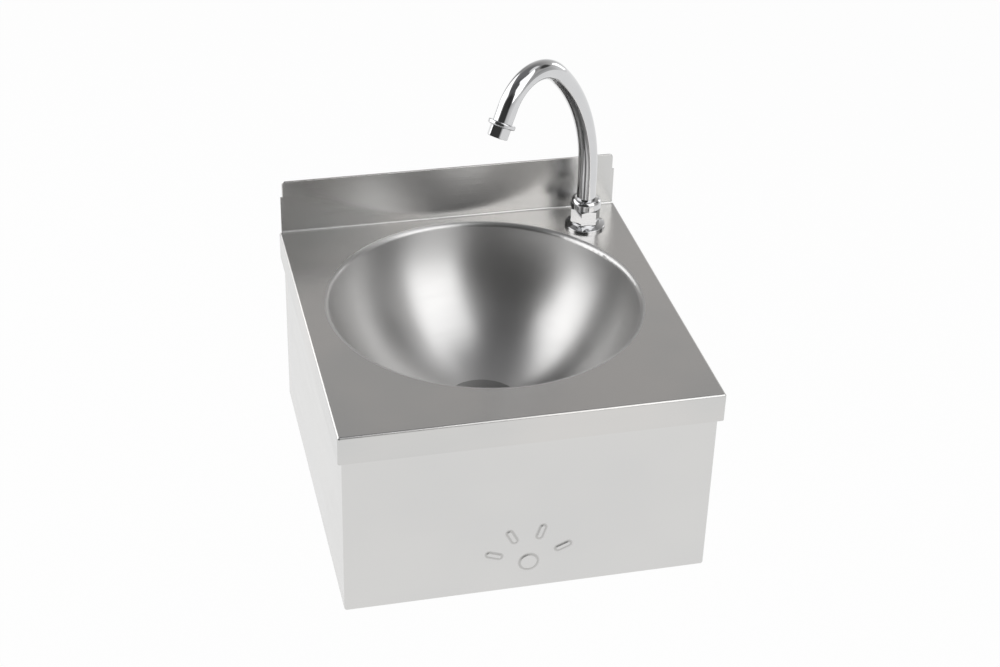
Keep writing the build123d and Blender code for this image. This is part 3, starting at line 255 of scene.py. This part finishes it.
def rise(height, metres):
    """A normal from a height of 0 to 1 that stands for so many metres."""
    return height.node("ShaderNodeBump", sockets={"Height": height, "Strength": 1.0, "Distance": metres})


def axes(vector):
    """The X, Y and Z of a vector, as three shades."""
    x = vector.node("ShaderNodeSeparateXYZ", sockets={"Vector": vector})
    return x, x.out("Y"), x.out("Z")


def point(x, y, z):
    """Three shades as one vector."""
    return z.node("ShaderNodeCombineXYZ", sockets={"X": x, "Y": y, "Z": z})


grain_scale = 1300
grain_pull = 0.012
grain_depth = 0.00006
streak_scale = 90
streak_pull = 0.05
patch_scale = 7


def ground(name, first, second, paint_shade_and_roughen=None):
    """Sheet with a straight grain, in patches of two colours; an optional last function paints shade
    into its colour and changes its roughness.
    """
    material, shader, start = finish(name, first, metallic=1.0, roughness=0.3)
    place = start.node("ShaderNodeTexCoord", out="Object")
    x, y, z = axes(place)
    facing_x, _, _ = axes(place.out("Normal"))
    side = facing_x.maths("ABSOLUTE", facing_x).step(0.6, 0.8)
    along = x + side * (y - x)
    across = y * (1 - side)
    grain = noise(point(along * grain_pull, across, z), grain_scale, detail=3.0, roughness=0.6)
    streak = noise(point(along * streak_pull, across, z), streak_scale)
    cloud = noise(place, patch_scale)
    colour = tint(cloud.step(0.3, 0.7), first, second)
    rough = 0.15 + grain * 0.08 + streak * 0.06 + cloud * 0.04
    if paint_shade_and_roughen:
        colour, rough = paint_shade_and_roughen(x, z, colour, rough)
    link(shader, Base_Color=colour, Roughness=rough, Normal=rise(grain, grain_depth))
    return material


sheet = ground("sheet_steel", (0.61, 0.61, 0.603), (0.66, 0.648, 0.634))
dress(sheet, "deck", "valve_bracket")

# Skirt: the same sheet, with a paler colour painted in for the brighter light that its front catches.
# The press tool raised four bars and a dimple low on the front; along their edges the sheet is rougher
# and has painted shade, which stands in for the shading of their relief.
mark_height = 0.035
dimple_r = 0.010
bar_ring_r = 0.040
bar_reach = 0.00575
bar_r = 0.00325
bar_angles = (160, 118, 72, 23)
shade_mask_reach = 0.0004
clear_from = 0.0024
# Painted shade along the mark edges: its grey and how strongly it covers the sheet; then the added
# roughness.
painted_shade_grey = (0.40, 0.395, 0.38)
painted_shade_share = 0.4
dull_roughness = 0.25
mark_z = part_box("skirt")[0].z + mark_height


def mark_edge_shading(x, z, colour, rough):
    """The sheet's colour with painted shade along the edges of the marks, and its roughness raised
    there, both fading outwards.
    """
    z = z - mark_z
    off_edge = x.maths("ABSOLUTE", x.maths("SQRT", x * x + z * z) - dimple_r)
    for angle in bar_angles:
        a, b = cos(radians(angle)), sin(radians(angle))
        past = x.maths("MAXIMUM", x.maths("ABSOLUTE", x * a + z * b - bar_ring_r) - bar_reach, 0)
        off = z * a - x * b
        off_bar = x.maths("ABSOLUTE", x.maths("SQRT", past * past + off * off) - bar_r)
        off_edge = x.maths("MINIMUM", off_edge, off_bar)
    # Painted shade: the sheet darkens towards a grey along the marks' edges, for the shade of their
    # relief; the same mask also roughens them.
    shade_and_rough_mask = 1 - off_edge.step(shade_mask_reach, clear_from)
    return tint(shade_and_rough_mask * painted_shade_share, colour, painted_shade_grey), rough + shade_and_rough_mask * dull_roughness


# The skirt's colours are painted paler than the top's, for the brighter light on its front.
dress(ground("skirt_steel", (0.65, 0.647, 0.64), (0.67, 0.665, 0.655), mark_edge_shading), "skirt")

# Bowl: spun from stainless sheet, with the fine rings that the tool leaves, so that lights draw
# out into fans from the waste to the rim. The rings are noise that hardly changes on its way round.
ring_drift = 0.002


def turned(place, node, axis):
    """Where a point lies for tool marks that run round a node's axis, which is X, Y or Z."""
    low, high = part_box(node)
    parts = {name: part - at for name, part, at in zip("XYZ", axes(place), (low + high) / 2)}
    along = parts.pop(axis)
    a, b = parts.values()
    out = along.maths("SQRT", a * a + b * b)
    return point(a / out * ring_drift, b / out * ring_drift, out - along)


spun, shader, start = finish("bowl_steel", (0.62, 0.617, 0.61), metallic=1.0, roughness=0.36)
shader.inputs["Anisotropic"].default_value = 0.6
shader.inputs["Anisotropic Rotation"].default_value = 0.25
place = start.node("ShaderNodeTexCoord", out="Object")
ring = noise(turned(place, "bowl", "Z"), scale=1200, detail=3.0, roughness=0.6)
cloud = noise(place, scale=9)
link(
    shader,
    Base_Color=tint(cloud.step(0.3, 0.7), (0.605, 0.602, 0.598), (0.635, 0.632, 0.628)),
    Roughness=0.26 + ring * 0.08 + cloud * 0.06,
    Normal=rise(ring, metres=0.000005),
)
dress(spun, "bowl")


# Wall frame and side rails: the same steel as it comes from the mill, cut, bent and welded under
# the top. Nobody sees them on the wall, so they are left dull, with faint rolling streaks.
def clouded(name, first, second, metallic, roughness, spread, patch, skin, depth, stretch=(1, 1, 1)):
    """A finish in soft patches of two colours, with a fine skin that may be stretched."""
    material, shader, start = finish(name, first, metallic, roughness)
    place = start.node("ShaderNodeTexCoord", out="Object")
    cloud = noise(place, patch, detail=3.0)
    pulled = place.node("ShaderNodeMapping", sockets={"Vector": place, "Scale": stretch})
    grain = noise(pulled, skin, detail=3.0)
    link(
        shader,
        Base_Color=tint(cloud.step(0.35, 0.65), first, second),
        Roughness=roughness + cloud * spread + grain * spread,
        Normal=rise(grain, depth),
    )
    return material


mill = clouded(
    "frame_steel", (0.52, 0.52, 0.515), (0.56, 0.56, 0.555), metallic=1.0,
    roughness=0.32, spread=0.08, patch=40, skin=700, depth=0.000008, stretch=(0.04, 1, 1),
)
dress(mill, "wall_frame", "side_rail_left", "side_rail_right")

# Tap: turned and bent brass, polished and chromed. The skin is nearly a mirror, with the faint
# waves that polishing leaves.
chrome_greyer = (0.60, 0.605, 0.615)
chrome_paler = (0.65, 0.65, 0.655)
chrome, shader, start = finish("tap_chrome", (0.62, 0.625, 0.635), metallic=1.0, roughness=0.05)
place = start.node("ShaderNodeTexCoord", out="Object")
wipe = noise(place, scale=60, detail=3.0)
wave = noise(place, scale=180)
link(
    shader,
    Base_Color=tint(wipe, chrome_greyer, chrome_paler),
    Roughness=0.03 + wipe * 0.05,
    Normal=rise(wave, metres=0.00001),
)
dress(chrome, "tap_body", "tap_collar", "spout_tube", "spout_ring", "outlet_nozzle")

# Outlet insert: a moulded plastic grid that lets the water out in one clear stream, pressed into
# the nozzle.
insert = clouded(
    "insert_plastic", (0.70, 0.71, 0.73), (0.77, 0.78, 0.80), metallic=0.0,
    roughness=0.30, spread=0.10, patch=260, skin=3000, depth=0.00001,
)
dress(insert, "outlet_insert")

# Waste: a strainer pressed from stainless sheet and polished. Its screw pulls it down on the bowl
# and the body up from below, with a seal on each side.
polished, shader, start = finish("waste_steel", (0.66, 0.66, 0.65), metallic=1.0, roughness=0.18)
place = start.node("ShaderNodeTexCoord", out="Object")
ring = noise(turned(place, "waste_strainer", "Z"), scale=1500)
cloud = noise(place, scale=80, detail=3.0)
link(
    shader,
    Base_Color=tint(cloud, (0.64, 0.64, 0.63), (0.70, 0.70, 0.69)),
    Roughness=0.07 + ring * 0.05 + cloud * 0.05,
    Normal=rise(ring, metres=0.000003),
)
dress(polished, "waste_strainer", "waste_screw")

# Waste body: a pipe fitting moulded in white plastic, satin from the mould and a little mottled.
# It hangs under the bowl and takes the drain pipe.
plastic = clouded(
    "waste_plastic", (0.74, 0.745, 0.74), (0.80, 0.80, 0.79), metallic=0.0,
    roughness=0.34, spread=0.12, patch=45, skin=1600, depth=0.00003,
)
dress(plastic, "waste_body")

# Seals, sleeves and washers: black rubber, squeezed between the pieces that they seal or cushion,
# with the dusty bloom that moulded rubber gets.
rubber = clouded(
    "rubber_black", (0.022, 0.022, 0.023), (0.045, 0.045, 0.047), metallic=0.0,
    roughness=0.58, spread=0.16, patch=130, skin=2200, depth=0.00004,
)
dress(
    rubber, "waste_upper_seal", "waste_lower_seal", "tap_base_seal", "tap_rubber_washer",
    "spout_orings", "stop_sleeves", "valve_disc", "hose_washers",
)

# Pivots, stops, bracket screws and the tap's washer: steel, zinc plated and passivated, which
# gives it a bluish and here and there a straw tinge.
zinc = clouded(
    "zinc_steel", (0.56, 0.59, 0.65), (0.68, 0.67, 0.62), metallic=1.0,
    roughness=0.24, spread=0.12, patch=150, skin=1800, depth=0.00001,
)
dress(
    zinc, "pivot_pins", "pivot_nuts", "stop_studs", "stop_nuts", "bracket_bolts", "bracket_nuts",
    "tap_steel_washer",
)

# Pivot bushes and the skirt's push pad: moulded nylon, which is a warm white and slightly waxy.
# The bushes turn on the pivot pins, and the pad presses on the valve's button.
nylon = clouded(
    "nylon", (0.76, 0.74, 0.66), (0.83, 0.81, 0.74), metallic=0.0,
    roughness=0.32, spread=0.12, patch=170, skin=2400, depth=0.00002,
)
dress(nylon, "pivot_bushes", "push_pad")

# Valve, supply branches and the pieces screwed to them: hot pressed and turned brass, left bare,
# with the fine sandy skin of the die and a patchy tarnish.
brass = clouded(
    "brass", (0.62, 0.42, 0.17), (0.78, 0.59, 0.29), metallic=1.0,
    roughness=0.26, spread=0.14, patch=70, skin=1500, depth=0.00003,
)
dress(
    brass, "valve_body", "valve_tail", "valve_lock_nut", "inlet_manifold", "manifold_plug",
    "check_valves", "spout_plug", "tap_back_nut",
)


# Push button and stem: turned parts that slide in the valve. The button is chromed and the stem
# is ground bright, each with its fine rings still on it.
def lathed(name, node, first, second, roughness, depth):
    """A turned metal finish, with rings round the Y axis of a node."""
    material, shader, start = finish(name, first, metallic=1.0, roughness=roughness)
    place = start.node("ShaderNodeTexCoord", out="Object")
    ring = noise(turned(place, node, "Y"), scale=2600, detail=3.0, roughness=0.6)
    cloud = noise(place, scale=110)
    link(
        shader,
        Base_Color=tint(cloud, first, second),
        Roughness=roughness + ring * 0.08,
        Normal=rise(ring, depth),
    )
    return material


button = lathed(
    "button_chrome", "push_button", chrome_greyer, chrome_paler, roughness=0.08, depth=0.000003,
)
dress(button, "push_button")
stem = lathed(
    "stem_steel", "valve_stem", (0.60, 0.60, 0.61), (0.66, 0.66, 0.67), roughness=0.18, depth=0.000004,
)
dress(stem, "valve_stem")

# Return spring: stainless wire drawn through a die and coiled, which leaves it a little grey. Its
# rear end stays on the valve, and the button presses on its front. It gets a mesh of its own.
wire = clouded(
    "spring_steel", (0.42, 0.42, 0.43), (0.53, 0.53, 0.54), metallic=1.0,
    roughness=0.28, spread=0.12, patch=240, skin=2600, depth=0.00001,
)
dress(wire, "return_spring")
low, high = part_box("return_spring")
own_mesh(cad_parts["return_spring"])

# Hose nuts and ferrules: brass, turned or drawn, and plated with nickel, which is a warm white.
# The ferrules grip the hose's ends, and the nuts screw them to the valve's tail and the tap's.
nickel = clouded(
    "plated_nuts", (0.64, 0.62, 0.57), (0.72, 0.71, 0.68), metallic=1.0,
    roughness=0.16, spread=0.10, patch=120, skin=1700, depth=0.00001,
)
dress(nickel, "hose_nuts", "hose_ferrules")

# Supply hose: a rubber hose in a sleeve of plaited steel wire, twelve flat strands each way. It
# runs level from the valve, shifts to the right and turns up in one bend to the tap.
hose_r = 0.006
bend_r = 0.06175
shift_starts = -0.2714
shift_ends = -0.1468
strands = 12
strand_pitch = 0.0031
wires = 6
braid_depth = 0.0005
low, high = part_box("supply_hose")
run_x = low.x + hose_r
rise_x = high.x - hose_r
bend_y = high.y - hose_r - bend_r
bend_z = low.z + hose_r + bend_r
braid, shader, start = finish("braided_hose", (0.6, 0.6, 0.61), metallic=1.0, roughness=0.3)
place = start.node("ShaderNodeTexCoord", out="Object")
x, y, z = axes(place)
past = x.maths("MAXIMUM", y - bend_y, 0)
under = x.maths("MAXIMUM", bend_z - z, 0)
outward = x.maths("SQRT", past * past + under * under) - bend_r
level_run = x.maths("MINIMUM", y, bend_y)
upright_run = x.maths("MAXIMUM", z, bend_z)
along = level_run + upright_run + x.maths("ARCTAN2", past, under) * bend_r
middle_x = y.step(shift_starts, shift_ends) * (rise_x - run_x) + run_x
turn = x.maths("ARCTAN2", outward, x - middle_x) * (strands / (2 * pi))
one_way = turn + along / strand_pitch
other_way = turn - along / strand_pitch
cells = x.maths("FLOOR", one_way) + x.maths("FLOOR", other_way)
on_top = x.maths("FRACT", cells / 2).step(0.2, 0.3)
across = one_way + on_top * (other_way - one_way)
strand = x.maths("SINE", x.maths("FRACT", across) * pi)
groove = x.maths("SINE", x.maths("FRACT", across * wires) * pi)
cloud = noise(place, scale=90)
link(
    shader,
    # The colour darkens towards each strand's edges: painted shade in the creases between the strands.
    Base_Color=tint(strand.step(0.1, 0.7), (0.16, 0.16, 0.165), (0.66, 0.66, 0.67)),
    Roughness=0.24 + (1 - groove) * 0.16 + cloud * 0.08,
    Normal=rise(strand * 0.7 + groove * 0.3, braid_depth),
)
dress(braid, "supply_hose")
